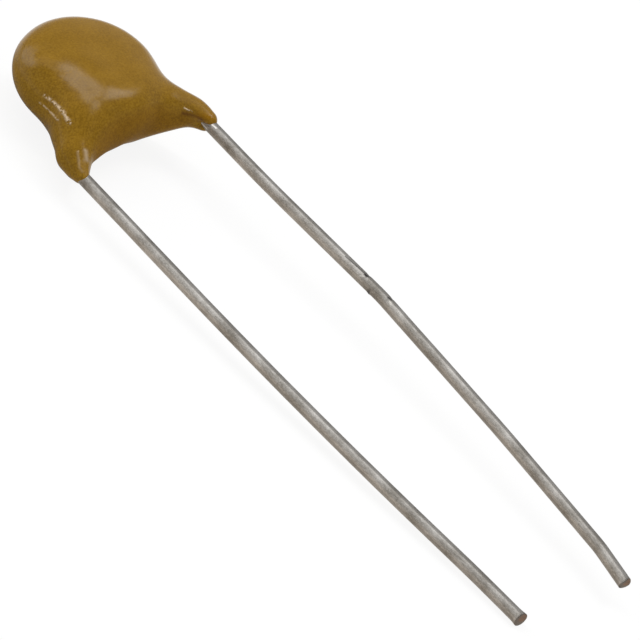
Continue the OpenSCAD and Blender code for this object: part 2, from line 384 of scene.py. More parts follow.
def leg_points(leg):
    """Adds the leg's angle, its three ball centres and its lengths."""
    side, half = leg["side"], SPACING / 2
    a, b = half - side * CENTRE.x - leg["bend"], CENTRE.y - leg["run"]
    flare = atan2(a, b) + asin((leg["bend"] + leg["aim"]) / hypot(a, b))
    leg["flare"] = flare
    leg["dir"] = Vector((-side * sin(flare), cos(flare), 0))
    sunk = sqrt(leg["foot"] ** 2 - WIRE_R ** 2)
    leg["foot_at"] = Vector((side * half, leg["bare"] + sunk, 0))
    leg["knee_at"] = Vector((side * (half - leg["bend"] * (1 - cos(flare))),
                             leg["run"] + leg["bend"] * sin(flare), 0))
    leg["mid"] = (Vector((CENTRE.x, CENTRE.y, 0)) - leg["knee_at"]).dot(leg["dir"])
    leg["edge"] = leg["mid"] - sqrt(CERAMIC_R ** 2 - leg["aim"] ** 2)
    root = leg["knee_at"] + (leg["edge"] + leg["past"]) * leg["dir"]
    leg["root_at"] = root + Vector((0, 0, leg["root_z"]))


for name, leg in LEGS.items():
    leg_points(leg)
    print(name, "leg flares by", round(degrees(leg["flare"]), 1), "degrees")

# %% [markdown]
# ### Thick and thin places
#
# Wet resin pools here and pulls away there before it sets, and the light
# shows it. Noise would spread such places anywhere. These lie where this
# coat has them, so each is a soft mound or hollow round a chosen point.

# %% Where the resin lies thicker or thinner
POOLS = [
    # x, y, z, width and rise of each soft mound: seven on the front face
    (-1.97, 4.69, 1.2, 0.45, 0.13),
    (-0.73, 3.82, 1.2, 0.87, 0.22),
    (-2.09, 6.43, 1.2, 0.93, 0.09),
    (-2.58, 2.31, 1.2, 1.18, 0.21),
    (0.41, 1.23, 1.2, 1.31, 0.22),
    (-1.30, 2.63, 1.2, 0.62, -0.13),
    (-1.57, 5.36, 1.2, 0.89, -0.04),
    # and four round the feet of the legs
    (3.45, 1.45, 0.45, 0.35, -0.035),
    (3.62, 0.85, 0.36, 0.32, 0.035),
    (-3.43, 0.55, -0.35, 0.32, 0.065),
    (-2.8, 0.32, 0.0, 0.48, 0.03),
]


def settled(tree, place, gap):
    """Raises or lowers the skin where the resin pooled before it set."""
    for x, y, z, width, rise in POOLS:
        away = tree.over(tree.vector("DISTANCE", place, (x, y, z)), width)
        gap = tree.math("MULTIPLY_ADD", tree.bell(away), -rise, gap)
    return gap


print(len(POOLS), "pools")

# %% [markdown]
# ### The coat's edge on the wires
#
# Resin creeps along a wire on one side and stops short on the other, so the
# coat's edge is no clean ring. A painted edge would have no thickness, so
# the field itself is slid along the wire on one side of it. The shift dies
# out a little way up the leg.

# %% Uneven edges round the wires
EDGE_REACH = 0.6
EDGES = {
    # direction round the wire, shift towards the free end, and how narrow
    "left": [((-0.388, 0, 0.922), 0.18, 1.5)],
    "right": [
        ((-0.98, 0, 0.1), -0.36, 8.0),
        ((-0.22, 0, 0.976), 0.12, 1.5),
        ((0.734, 0, 0.68), 0.07, 2.0),
    ],
}


def uneven_edge(tree, place, name):
    """Moves the coat's edge along one side of a wire, and leaves the rest."""
    foot = LEGS[name]["foot_at"]
    offset = tree.vector("MULTIPLY", tree.vector("SUBTRACT", place, foot), (1.0, 0.0, 1.0))
    offset = tree.vector("NORMALIZE", offset)
    up = tree.over(tree.minus(tree.parts(place)["Y"], foot.y), EDGE_REACH)
    fade = tree.bell(tree.most(up, 0.0))
    for side, shift, narrow in EDGES[name]:
        facing = tree.most(tree.vector("DOT_PRODUCT", offset, side), 0.0)
        facing = tree.math("POWER", facing, narrow)
        moved = tree.times(tree.times(facing, fade), shift)
        place = tree.vector("ADD", place, tree.whole(Y=moved))
    return place


print("uneven edges on the", " and ".join(EDGES), "leads")

# %% [markdown]
# ### One field for the whole coat
#
# Now the disc and the legs flow together. A boolean union would leave a
# sharp corner where they meet, and the smooth minimum fills it. Each join
# has its own width in millimetres: narrow at the bend of a wire, wide in
# the web between the legs, where wet resin hangs like a curtain.

# %% The coat's whole gap field
DISC_R, DISC_H, DISC_DOME = 2.9, 1.4, 0.25
KNEE_BLEND = 0.4
# the root of a leg is a little thicker than the disc
ROOT_MORE = 0.15

coat_gap = Shape("coat gap")
place = coat_gap.takes("Place", "Vector")
disc_r = coat_gap.takes("Disc radius", "Float", DISC_R)
disc_h = coat_gap.takes("Disc half thickness", "Float", DISC_H)
web = coat_gap.takes("Web", "Float", 2.05)
blend = coat_gap.takes("Blend", "Float", 0.7)
root_r = coat_gap.math("ADD", disc_h, ROOT_MORE)
legs = []
for name, leg in LEGS.items():
    lower = coat_gap.group(
        rolling, Place=uneven_edge(coat_gap, place, name), Start=leg["foot_at"],
        End=leg["knee_at"], Start_radius=leg["foot"], End_radius=leg["knee"])
    upper = coat_gap.group(
        rolling, Place=place, Start=leg["knee_at"], End=leg["root_at"],
        Start_radius=leg["knee"], End_radius=root_r)
    legs.append(coat_gap.math("SMOOTH_MIN", lower["Gap"], upper["Gap"], KNEE_BLEND))
disc = coat_gap.group(domed, Place=place, Middle=CENTRE, Radius=disc_r,
                      Half_thickness=disc_h, Dome=DISC_DOME)
both = coat_gap.math("SMOOTH_MIN", *legs, web)
whole = coat_gap.math("SMOOTH_MIN", disc["Gap"], both, blend)
coat_gap.gives("Gap", "Float", settled(coat_gap, place, whole))
print("coat field joins", len(legs), "legs and the disc")

# %% [markdown]
# ### One skin from the field
#
# A volume is filled with the field and a mesh is drawn through its zero.
# That mesh is only as exact as the volume's cells, so each vertex is then
# slid along its normal onto the true skin, four times over.

# %% Fill a block with the field and draw the skin through its zero
LOW, HIGH = Vector((-4.2, -0.6, -2.4)), Vector((4.4, 7.8, 2.2))
# the field is only needed this near the skin
BAND = 0.5
SLIDES = 4

skin = Shape("dipped coat")
skin.takes("Geometry", "Geometry")
cell = skin.takes("Cell", "Float", 0.06)
waves = skin.takes("Waves", "Float", 0.02)
inside = skin.times(skin.group(coat_gap, Place=skin.here())["Gap"], -1.0)
inside = skin.node("ShaderNodeClamp", Value=inside, Min=-BAND, Max=BAND).outputs[0]
block = skin.node("GeometryNodeVolumeCube", Density=inside, Background=-BAND, Min=LOW, Max=HIGH)
for axis, size in zip("XYZ", HIGH - LOW):
    skin.put(block.inputs["Resolution " + axis], skin.over(size, cell))
shape = skin.node("GeometryNodeVolumeToMesh", Volume=block.outputs[0], Threshold=0.0).outputs[0]
for _ in range(SLIDES):
    gap = skin.group(coat_gap, Place=skin.here())["Gap"]
    shape = skin.move(shape, skin.scale(skin.normal(), skin.times(gap, -1.0)))
print("skin is slid onto the field", SLIDES, "times")

# %% [markdown]
# ### Slow waves
#
# A machined face is perfectly even and a dipped one never is. Slow waves, far
# weaker than the pools, make the difference. A bump would only shade them,
# so noise moves the vertices. Each vertex first remembers its place, so
# that the finish can put its marks there.

# %% Add the slow waves and lay the coat down
WAVE_SCALE = 0.7

place = skin.here()
shape = skin.remember(shape, "flat", place)
sag = skin.minus(skin.noise(place, WAVE_SCALE, 1.0), 0.5)
shape = skin.move(shape, skin.scale(skin.normal(), skin.times(sag, waves)))
shape = skin.lay_down(shape)
print("each vertex remembers its place as 'flat'")

# %% [markdown]
# ## Shader groups that several finishes share
#
# Every finish here has a fine grain and slow clouds, so both come from one
# group. The second group draws a soft line between two points. It makes a
# pucker, a scratch, a stain or a run, depending on what its value feeds.


# %% Grain, and a soft line
def shader_tree(name):
    return Tree(bpy.data.node_groups.new(name, "ShaderNodeTree"))


grain = shader_tree("grain")
place = grain.takes("Place", "Vector")
fine = grain.noise(place, grain.takes("Fine", "Float", 14.0))
slow = grain.noise(place, grain.takes("Slow", "Float", 1.2))
grain.gives("Fine", "Float", fine)
grain.gives("Slow", "Float", slow)

line = shader_tree("soft line")
place, start, end = line.takes_all("Vector", "Place", "Start", "End")
width = line.takes("Width", "Float", 0.03)
reach = line.vector("SUBTRACT", end, start)
offset = line.vector("SUBTRACT", place, start)
share = line.over(line.vector("DOT_PRODUCT", offset, reach),
                  line.vector("DOT_PRODUCT", reach, reach))
held = line.math("MINIMUM", line.most(share, 0.0), 1.0)
away = line.over(line.vector("DISTANCE", offset, line.scale(reach, held)), width)
line.gives("Rise", "Float", line.bell(away))
print("shader groups:", grain.tree.name, "and", line.tree.name)

# %% [markdown]
# ### A helper for finishes
#
# A finish is one Principled shader with nodes that feed its colour, its
# roughness and its normal. Values that are the same all over the surface
# are set on the shader's own sockets.


# %% A helper that writes materials
class Finish(Tree):
    def __init__(self, name, **values):
        self.material = bpy.data.materials.new(name)
        self.material.use_nodes = True
        super().__init__(self.material.node_tree)
        self.bsdf = self.tree.nodes["Principled BSDF"]
        self.shade(**values)

    def shade(self, **values):
        for name, value in values.items():
            self.put(self.bsdf.inputs[name.replace("_", " ")], value)

    def fade(self, value, start, end, low=0.0, high=1.0, smooth=True):
        """Goes from low to high while value goes from start to end."""
        kind = {"interpolation_type": "SMOOTHSTEP"} if smooth else None
        return self.node("ShaderNodeMapRange", kind, Value=value, From_Min=start,
                         From_Max=end, To_Min=low, To_Max=high).outputs[0]

    def tone(self, spots, grain_share, cloud_share, start):
        """Fine grain over slow clouds, as one value for a ramp."""
        clouds = self.math("MULTIPLY_ADD", spots["Slow"], cloud_share, start)
        return self.math("MULTIPLY_ADD", self.minus(spots["Fine"], 0.5), grain_share, clouds)

    def attribute(self, name):
        return self.node("ShaderNodeAttribute", {"attribute_name": name}).outputs

    def ramp(self, factor, *stops):
        node = self.tree.nodes.new("ShaderNodeValToRGB")
        self.put(node.inputs[0], factor)
        for element, (where, colour) in zip(node.color_ramp.elements, stops):
            element.position = where
            element.color = (*colour, 1)
        return node.outputs[0]

    def mix(self, factor, under, over, blend="MIX"):
        """Lays one colour over another. Each is three numbers or a link."""
        node = self.node("ShaderNodeMix", {"data_type": "RGBA", "blend_type": blend})
        colours = [socket for socket in node.inputs if socket.type == "RGBA"]
        self.put(node.inputs["Factor"], factor)
        for socket, colour in zip(colours, (under, over)):
            linked = isinstance(colour, bpy.types.NodeSocket)
            self.put(socket, colour if linked else (*colour, 1))
        return next(socket for socket in node.outputs if socket.type == "RGBA")

    def bump(self, height, mm, strength=1.0, normal=None):
        node = self.node("ShaderNodeBump", Height=height, Strength=strength, Distance=mm * MM)
        if normal is not None:
            self.put(node.inputs["Normal"], normal)
        return node.outputs[0]

    def soft_line(self, place, *lines):
        """A soft line, or the strongest of several."""
        strongest = 0.0
        for start_at, end_at, width in lines:
            rise = self.group(line, Place=place, Start=start_at, End=end_at, Width=width)["Rise"]
            strongest = self.most(strongest, rise)
        return strongest


print("finish helper ready")

# %% [markdown]
# ## What the coat is made of
#
# The coat is a filled resin, so its colour has a fine grain and slow clouds
# of more and less pigment. A picture of it would have to be painted and
# wrapped, so noise in the plane of the leads does it instead. Faces that
# turn towards the free ends of the leads get a painted shade, and are duller.

# %% The resin's own colour
DARK_RESIN = (0.185, 0.092, 0.002)
LIGHT_RESIN = (0.295, 0.158, 0.010)
# the painted shade laid over faces that turn towards the free ends of the leads
PAINTED_SHADE_TINT = (0.92, 0.84, 0.6)

resin = Finish("coat_resin", Specular_IOR_Level=0.15)
flat = resin.attribute("flat")["Vector"]
specks = resin.group(grain, Place=flat, Fine=13.0, Slow=1.1)
facing = resin.parts(resin.node("ShaderNodeNewGeometry").outputs["Normal"])
# the colour grain is stronger on the flanks than on the flat of the front face;
# part of that is painted light and shade of the peel, as grazing light shows it
speckle_with_painted_relief = resin.fade(facing["Z"], 0.8, 0.97, low=1.5, high=0.85, smooth=False)
hue = resin.tone(specks, grain_share=speckle_with_painted_relief, cloud_share=0.5, start=0.25)
body = resin.ramp(hue, (0.2, DARK_RESIN), (0.8, LIGHT_RESIN))
# painted shade on faces that turn towards the free ends of the leads, which are also duller
painted_shade_and_dull = resin.fade(facing["Y"], -0.7, -1.0)
body = resin.mix(painted_shade_and_dull, body, PAINTED_SHADE_TINT, "MULTIPLY")
print("resin runs from", DARK_RESIN, "to", LIGHT_RESIN)

# %% [markdown]
# ### Marks on the coat
#
# In the crease on the left the resin has puckered into two short rows of
# threads, which catch the lamp as a dotted line, and a light colour on them
# is a painted highlight. A dark line of painted shade runs down to the right
# wire as if in a groove, with a small ridge over it whose light colour is a
# painted glint. Resin has collected there in a darker amber, and on the left
# foot a run has set as a fine raised line, which like the crown above it
# carries a painted highlight.
# All are too fine for the coat's mesh. So the finish draws each as a soft
# line between two points in the plane of the leads.

# %% Where the marks are, from one end to the other, and their widths
# rows of puckers in the left crease; the light colour laid on them further down is a painted
# highlight
CREASES = [
    # y and z of both ends down the left flank, width and height
    ((3.68, 0.75), (2.41, 1.01), 0.05, 1.0),
    ((2.41, 1.01), (1.90, 0.98), 0.05, 1.0),
    ((3.72, 0.41), (3.13, 0.48), 0.04, 0.6),
    ((3.13, 0.48), (2.42, 0.71), 0.04, 0.6),
]
# a small ridge at the right foot, whose light colour is a painted glint
RIDGE = ((2.48, 1.15, 0.49), (2.73, 0.93, 0.40), 0.028)
# a dark line of painted shade down to the right wire, as if in a groove
GROOVE_SHADE = [
    ((2.39, 1.05, 0.33), (2.70, 0.85, 0.29), 0.075),
    ((2.70, 0.85, 0.29), (2.93, 0.54, 0.24), 0.075),
    ((2.93, 0.54, 0.24), (2.94, 0.43, 0.11), 0.075),
    ((2.94, 0.43, 0.11), (3.02, 0.32, 0.04), 0.075),
]
AMBER = ((2.85, 0.66, 0.31), (3.25, 0.38, 0.33), 0.2)
# the crown and the run on the left foot are raised, and each also carries a painted highlight
CROWN = ((-2.82, 0.70, 0.58), (-2.94, 0.45, 0.41), 0.10)
RUNNEL = [
    ((-3.14, 0.81, 0.59), (-3.37, 0.29, 0.32), 0.05),
    ((-3.37, 0.29, 0.32), (-3.37, 0.09, 0.27), 0.05),
]
DULL = [
    ((-2.05, 4.85, 1.31), (-1.78, 4.45, 1.40), 0.22),
    ((2.65, 1.60, 0.75), (3.05, 0.80, 0.50), 0.3),
    ((-3.18, 0.30, 0.38), (-3.30, 0.03, 0.26), 0.16),
]
# the creases lie left of this
CREASES_X = -1.5

crown = resin.soft_line(flat, CROWN)
runnel = resin.soft_line(flat, *RUNNEL)
flank = resin.vector("MULTIPLY", flat, (0.0, 1.0, 1.0))
puckers = 0.0
for start_at, end_at, width, tall in CREASES:
    row = resin.soft_line(flank, ((0, *start_at), (0, *end_at), width))
    puckers = resin.most(puckers, resin.times(row, tall))
puckers = resin.times(puckers, resin.math("LESS_THAN", resin.parts(flat)["X"], CREASES_X))
puckers = resin.most(puckers, resin.soft_line(flat, RIDGE))
# broken up into beads along each row
beads = resin.fade(resin.noise(flat, scale=10.0, detail=1.0), 0.38, 0.55, smooth=False)
puckers = resin.times(puckers, beads)
print(len(CREASES), "creases,", len(GROOVE_SHADE), "parts of the groove")

# %% [markdown]
# ### Stains and painted light
#
# Where resin lies thick it looks dark and amber. The dark line down to the
# right wire is a painted shade, and the light colour of the puckers, the
# ridge, the crown and the run is a painted highlight. So each mark lays its
# own colour over the resin, as strongly as the mark stands out there.

# %% Stain the marks
# how strongly the painted highlight shows on the crown and on the run
CROWN_SHARE, RUN_SHARE = 0.45, 0.22

painted_highlight = resin.most(resin.times(crown, CROWN_SHARE), resin.times(runnel, RUN_SHARE))
STAINS_AND_PAINTED_LIGHT = [
    # where, how strongly, and the colour
    (resin.soft_line(flat, AMBER), 0.8, (0.26, 0.115, 0.0)),
    # painted shade along the groove
    (resin.soft_line(flat, *GROOVE_SHADE), 0.85, (0.11, 0.038, 0.001)),
    # painted highlight on the crown and the run
    (painted_highlight, 1.0, (0.62, 0.50, 0.36)),
    # painted highlight on the puckers and the ridge
    (puckers, 0.85, (0.80, 0.62, 0.42)),
]
for where, strength, colour in STAINS_AND_PAINTED_LIGHT:
    body = resin.mix(resin.times(where, strength), body, colour)
resin.shade(Base_Color=body)
print(len(STAINS_AND_PAINTED_LIGHT), "stains")

# %% [markdown]
# ### Gloss and relief
#
# The gloss is soft and varies with the grain. It is duller where the coat
# was handled and on faces that turn towards the free ends of the leads. Relief
# as fine as this would take a far denser mesh, so three bumps lie over each
# other instead: the orange peel of the whole coat, the puckers, and the raised
# run on the left foot.

# %% Roughness and bumps of the coat
GLOSS, GRAINY, HANDLED, HUNG_DULL = 0.18, 0.08, 0.35, 0.6
PEEL_MM, PUCKER_MM, RUN_MM = 0.02, 0.03, 0.02

rough = resin.math("MULTIPLY_ADD", specks["Fine"], GRAINY, GLOSS)
rough = resin.math("MULTIPLY_ADD", resin.soft_line(flat, *DULL), HANDLED, rough)
resin.shade(Roughness=resin.math("MULTIPLY_ADD", painted_shade_and_dull, HUNG_DULL, rough))
normal = resin.bump(resin.noise(flat, scale=5.0, detail=3.0), PEEL_MM, strength=0.12)
normal = resin.bump(puckers, PUCKER_MM, normal=normal)
normal = resin.bump(resin.most(crown, runnel), RUN_MM, normal=normal)
resin.shade(Normal=normal)
print("peel is", PEEL_MM, "mm deep and a pucker is", PUCKER_MM, "mm high")

# %% [markdown]
# ### Make the coat
#
# The tree needs no mesh to start from, so it runs on an empty one. The
# finished coat takes the place of the CAD's plain coating.

# %% The coat as a piece
skin.dress(shape, resin)
coat = make_mesh("dipped_coat", bpy.data.meshes.new("empty"), skin, {})
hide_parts("coating")
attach(coat, "root")

# %% [markdown]
# ## The paths of the two wires
#
# A wire keeps its length however it is bent. A curve drawn by hand would
# lose that, so a walker goes along the wire instead: it runs straight, turns
# on a given radius, and leaves a point every so often.


# %% A walker that leaves points along a wire
class Walker:
    def __init__(self, at, heading):
        self.at, self.heading = Vector(at), Vector(heading)
        self.points = [self.at.copy()]

    def run(self, length, step=0.2):
        count = max(1, round(length / step))
        for _ in range(count):
            self.at = self.at + self.heading * (length / count)
            self.points.append(self.at.copy())

    def bend(self, angle, radius, towards, step=0.05):
        side = Vector(towards)
        side = (side - self.heading * side.dot(self.heading)).normalized()
        count = max(2, round(abs(angle) * radius / step))
        axis = self.heading.cross(side)
        turn = Matrix.Rotation(angle / count, 3, axis)
        half_turn = Matrix.Rotation(angle / count / 2, 3, axis)
        chord = 2 * radius * sin(abs(angle) / count / 2)
        for _ in range(count):
            self.at = self.at + half_turn @ self.heading * chord
            self.heading = turn @ self.heading
            self.points.append(self.at.copy())


print("walker ready")

# %% [markdown]
# ### The bends of each lead
#
# Outside the coat a lead has long easy bows, and the right one a sharp nip.
# Inside, it bends inward, and an S of two equal bends and a slant lifts it
# onto its electrode. The slant follows from the rise and the room there is.

# %% Walk both wires, from the cut end to the end on the ceramic
WIRE_Z = 0.935
JOG_R = 0.6
JOG_ROOM = 0.2
BEFORE_JOG = 0.1
PAST_MIDDLE = 1.0

OUTSIDE = {
    # degrees the lead leans, then runs in mm, each with a bend in degrees and its radius
    "left": (0.8, [(5.7, 3.5, 240), (0.9, -1.5, 40), (1.75, 0, 0)]),
    "right": (0.0, [(2.85, 2.2, 60), (5.2, -5.1, 6), (6.1, -1.6, 60), (4.8, -6.6, 4),
                    (1.5, 0, 0)]),
}


def wire_path(leg, lean, outside):
    side = leg["side"]
    start = Vector((side * SPACING / 2, leg["run"], 0))
    free = Walker(start, (sin(radians(lean)), -cos(radians(lean)), 0))
    for length, angle, radius in outside:
        free.run(length)
        if angle:
            free.bend(radians(angle), radius, (1, 0, 0))
    inner = Walker(start, (0, 1, 0))
    inner.bend(leg["flare"], leg["bend"], (-side, 0, 0))
    # an S of two equal bends and a slant lifts the wire onto its electrode
    rise = WIRE_Z - side * CENTRE.z
    room = leg["edge"] - JOG_ROOM
    slant = sqrt(room ** 2 + rise ** 2 - 4 * JOG_R * rise)
    jog = atan2(rise - 2 * JOG_R, room) + atan2(2 * JOG_R, slant)
    up = (0, 0, -side)
    inner.run(BEFORE_JOG)
    inner.bend(jog, JOG_R, up)
    inner.run(slant)
    inner.bend(-jog, JOG_R, up)
    inner.run(leg["mid"] - leg["edge"] + PAST_MIDDLE)
    return free.points[::-1] + inner.points[1:]


def path_length(points):
    return sum((b - a).length for a, b in zip(points, points[1:]))


WIRES = {name: wire_path(LEGS[name], *OUTSIDE[name]) for name in LEGS}
for name, points in WIRES.items():
    print(name, "wire is", round(path_length(points), 2), "mm long")

# %% [markdown]
# ## The wires while they are straight
#
# A wire is easiest to finish while it is straight: the tin's streaks, the
# marks of the pliers and the cut end are all simple to place along its
# length. Only then is it bent. So the tree starts with a straight rod that
# stands on its cut end, and remembers each point's place on it as "drawn".

# %% A straight rod
SIDES = 40
RINGS_PER_MM = 14.0
END_RINGS = 6

lead = Shape("drawn wire")
track = lead.takes("Geometry", "Geometry")
long_mm = lead.takes("Length", "Float", 30.0)
shear = lead.takes("Shear", "Vector")
roll, swell, nip_at, nip_deep = lead.takes_all("Float", "Roll", "Swell", "Nip", "Nip depth")
rod = lead.node(
    "GeometryNodeMeshCylinder", {"fill_type": "TRIANGLE_FAN"}, Vertices=SIDES,
    Side_Segments=lead.times(long_mm, RINGS_PER_MM), Fill_Segments=END_RINGS,
    Radius=WIRE_R, Depth=long_mm).outputs["Mesh"]
rod = lead.node("GeometryNodeTransform", Geometry=rod,
                Translation=lead.whole(Z=lead.times(long_mm, 0.5))).outputs[0]
here = lead.here()
rod = lead.remember(rod, "drawn", here)
print("rod has", SIDES, "sides")

# %% [markdown]
# ### The cut end
#
# Side cutters wedge a wire apart. The end comes out slanted, rolled over on
# the side where the blades met, swollen one way and pinched the other. A
# plain cap would look sawn off, so the last rings of the rod are moved. All
# of it dies out within a third of a millimetre of the cut.

# %% Shear, roll, swell and pinch the end
CUT_REACH = 0.16
PINCH, SPREAD = -0.12, 0.05
UPPER_SIDE = Vector((0.734, 0.68, 0.0))

xyz = lead.parts(here)
at_end = lead.bell(lead.over(xyz["Z"], CUT_REACH))
slope = lead.vector("DOT_PRODUCT", here, shear)
lip = lead.most(lead.vector("DOT_PRODUCT", here, UPPER_SIDE / WIRE_R), 0.0)
slope = lead.math("MULTIPLY_ADD", lead.times(lip, lip), roll, slope)
pinch = lead.times(at_end, lead.math("ADD", swell, PINCH))
spread = lead.times(at_end, lead.math("ADD", swell, SPREAD))
rod = lead.move(rod, lead.whole(
    X=lead.times(xyz["X"], spread), Y=lead.times(xyz["Y"], pinch), Z=lead.times(slope, at_end)))
print("cut end reaches", 2 * CUT_REACH, "mm up the wire")

# %% [markdown]
# ### Tin and tool marks
#
# The skin of tin is a few microns thicker here and there. On the right lead
# the jaws of a tool have left two nips in the front and thrown up a burr on
# the side. They show in the lead's outline, so they are pressed into the
# mesh. Their strength is remembered too, since soot collects in them.

# %% Uneven tin, and the jaws of a tool
TIN_MM = 0.012
LUMPS_PER_MM = (3.0, 3.0, 0.8)
JAW_NARROW = 3.0
JAWS = [
    # distance back from the first nip, side of the wire, width and depth
    (0.0, (0.15, 0.99, 0.0), 0.06, 1.0),
    (1.33, (0.1, 0.995, 0.0), 0.06, 0.8),
    (0.5, (-0.935, -0.356, 0.0), 0.05, -0.5),
]

here = lead.here()
lumps = lead.noise(lead.vector("MULTIPLY", here, LUMPS_PER_MM), 1.0)
around = lead.vector("NORMALIZE", lead.vector("MULTIPLY", here, (1.0, 1.0, 0.0)))
rod = lead.move(rod, lead.scale(around, lead.times(lead.minus(lumps, 0.5), TIN_MM)))

here = lead.here()
marks = 0.0
for back, side, width, deep in JAWS:
    facing = lead.most(lead.vector("DOT_PRODUCT", lead.scale(here, 1 / WIRE_R), side), 0.0)
    facing = lead.math("POWER", facing, JAW_NARROW)
    away = lead.minus(lead.parts(here)["Z"], lead.math("ADD", nip_at, -back))
    mark = lead.times(lead.bell(lead.over(away, width)), facing)
    marks = lead.math("ADD", marks, mark)
    rod = lead.move(rod, lead.scale(side, lead.times(lead.times(mark, nip_deep), -deep)))
nipped = lead.math("GREATER_THAN", nip_deep, 0.0)
rod = lead.remember(rod, "nipped", nipped, "FLOAT")
rod = lead.remember(rod, "jaws", lead.times(marks, nipped), "FLOAT")
print(len(JAWS), "marks of the jaws")

# %% [markdown]
# ### Carry the rod along its path
#
# Curve to Mesh would sweep a plain circle and lose all the work above. Here
# every point of the rod looks up the path at its own height instead, and is
# set beside it by as much as it stood beside the axis of the rod.

# %% Bend the finished rod
here = lead.parts(lead.here())
path = lead.node("GeometryNodeMeshToCurve", Mesh=track).outputs[0]
along = lead.node("GeometryNodeSampleCurve", {"mode": "LENGTH"}, Curves=path, Length=here["Z"])
tangent = along.outputs["Tangent"]
up = lead.vector("SUBTRACT", (0, 0, 1), lead.scale(tangent, lead.parts(tangent)["Z"]))
up = lead.vector("NORMALIZE", up)
across = lead.vector("CROSS_PRODUCT", tangent, up)
# points that stand out below the cut go straight on past the path's end
below = lead.scale(tangent, lead.math("MINIMUM", here["Z"], 0.0))
spot = lead.vector("ADD", along.outputs["Position"], below)
spot = lead.vector("ADD", spot, lead.scale(across, here["X"]))
spot = lead.vector("ADD", spot, lead.scale(up, here["Y"]))
rod = lead.node("GeometryNodeSetPosition", Geometry=rod, Position=spot).outputs[0]
rod = lead.lay_down(rod)
print("rod follows its path")

# %% [markdown]
# ## Tin, and the copper at its cut
#
# Dipped tin goes dull and mottled, in patches of different tone. They are
# longer than wide, because the wire was drawn, so the noise is stretched
# along it. The finish reads the place on the straight wire, so that it
# stays put on every bend.

# %% The tin's own colour
DULL_TIN = (0.30, 0.28, 0.25)
CLEAN_TIN = (0.61, 0.592, 0.565)
# the cut face lies below this on the straight wire
FACE_MM = 0.004

tin = Finish("tinned_wire", Metallic=1.0)
drawn = tin.attribute("drawn")["Vector"]
at = tin.parts(drawn)
round_it = tin.vector("DIVIDE", drawn, (WIRE_R, WIRE_R, 1.0))
end_face = tin.math("LESS_THAN", at["Z"], FACE_MM)
mottle = tin.group(grain, Place=tin.vector("MULTIPLY", drawn, (1.0, 1.0, 0.5)),
                   Fine=18.0, Slow=1.6)
tone = tin.tone(mottle, grain_share=0.9, cloud_share=1.25, start=-0.12)
metal = tin.ramp(tone, (0.2, DULL_TIN), (0.8, CLEAN_TIN))
print("tin runs from", DULL_TIN, "to", CLEAN_TIN)

# %% [markdown]
# ### Painted shade on the flanks and below
#
# The upper and the lower flank of a lead get a painted shade that makes them
# darker than its front, and the side it lies on gets a faint warm painted
# shade. A mask from the direction round the wire places each, with soft edges.

# %% Painted shade on the flanks, and warm painted shade below
FRONT_SIDE = Vector((-0.68, 0.734, 0.0))
FLANK_PAINTED_SHADE = (0.08, 0.075, 0.07)
FLANK_SHARE = 0.6
LOWER_SHARE, LOWER_NEAR_COAT = 0.35, 0.2
WARM_PAINTED_SHADE = (1.0, 0.90, 0.79)

# painted shade on the upper and the lower flank
front = tin.vector("DOT_PRODUCT", round_it, FRONT_SIDE)
flank = tin.times(tin.fade(front, 0.90, 0.76), tin.fade(front, -0.1, 0.3))
flank = tin.times(flank, tin.minus(1.0, end_face))
# the lower flank gets less painted shade near the coat
lower = tin.fade(at["Z"], 14.0, 21.0, low=LOWER_SHARE, high=LOWER_NEAR_COAT, smooth=False)
upper = tin.vector("DOT_PRODUCT", round_it, UPPER_SIDE)
upper = tin.fade(upper, -0.3, 0.3, low=lower, high=FLANK_SHARE, smooth=False)
metal = tin.mix(tin.times(flank, upper), metal, FLANK_PAINTED_SHADE)
# a warm painted shade on the side the wire lies on
below = tin.fade(at["Y"], 0.24, 0.05)
metal = tin.mix(tin.times(below, 0.8), metal, WARM_PAINTED_SHADE, "MULTIPLY")
print("flanks darkened")

# %% [markdown]
# ### The cut face
#
# The cutters bare the copper core. It shows as a warm spot, a little off the
# middle, in a dark face of smeared tin. A material of its own would end in a
# hard ring, so masks in the wire's finish place both.

# %% The cut face and its copper core
CUT_FACE = (0.10, 0.075, 0.055)
COPPER = (0.28, 0.16, 0.10)
CORE_AT = (0.075, 0.03, 0.0)

metal = tin.mix(tin.times(end_face, 0.75), metal, CUT_FACE)
off_core = tin.vector("DISTANCE", tin.vector("MULTIPLY", drawn, (1.0, 1.0, 0.0)), CORE_AT)
core = tin.times(tin.fade(off_core, 0.22, 0.12), end_face)
patchy = tin.times(core, tin.fade(mottle["Fine"], 0.35, 0.6, smooth=False))
metal = tin.mix(patchy, metal, COPPER)
print("copper core shows at the cut")

# %% [markdown]
# ### Scores and soot
#
# The tool that nipped the right lead has scored it. Bare tin shines in a
# fresh score, and dirt fills an old one. Where the wire leaves the coat, two
# light strokes are painted glints. They are soft lines again, in millimetres
# on the straight wire: across it, out of it, and up from the cut.

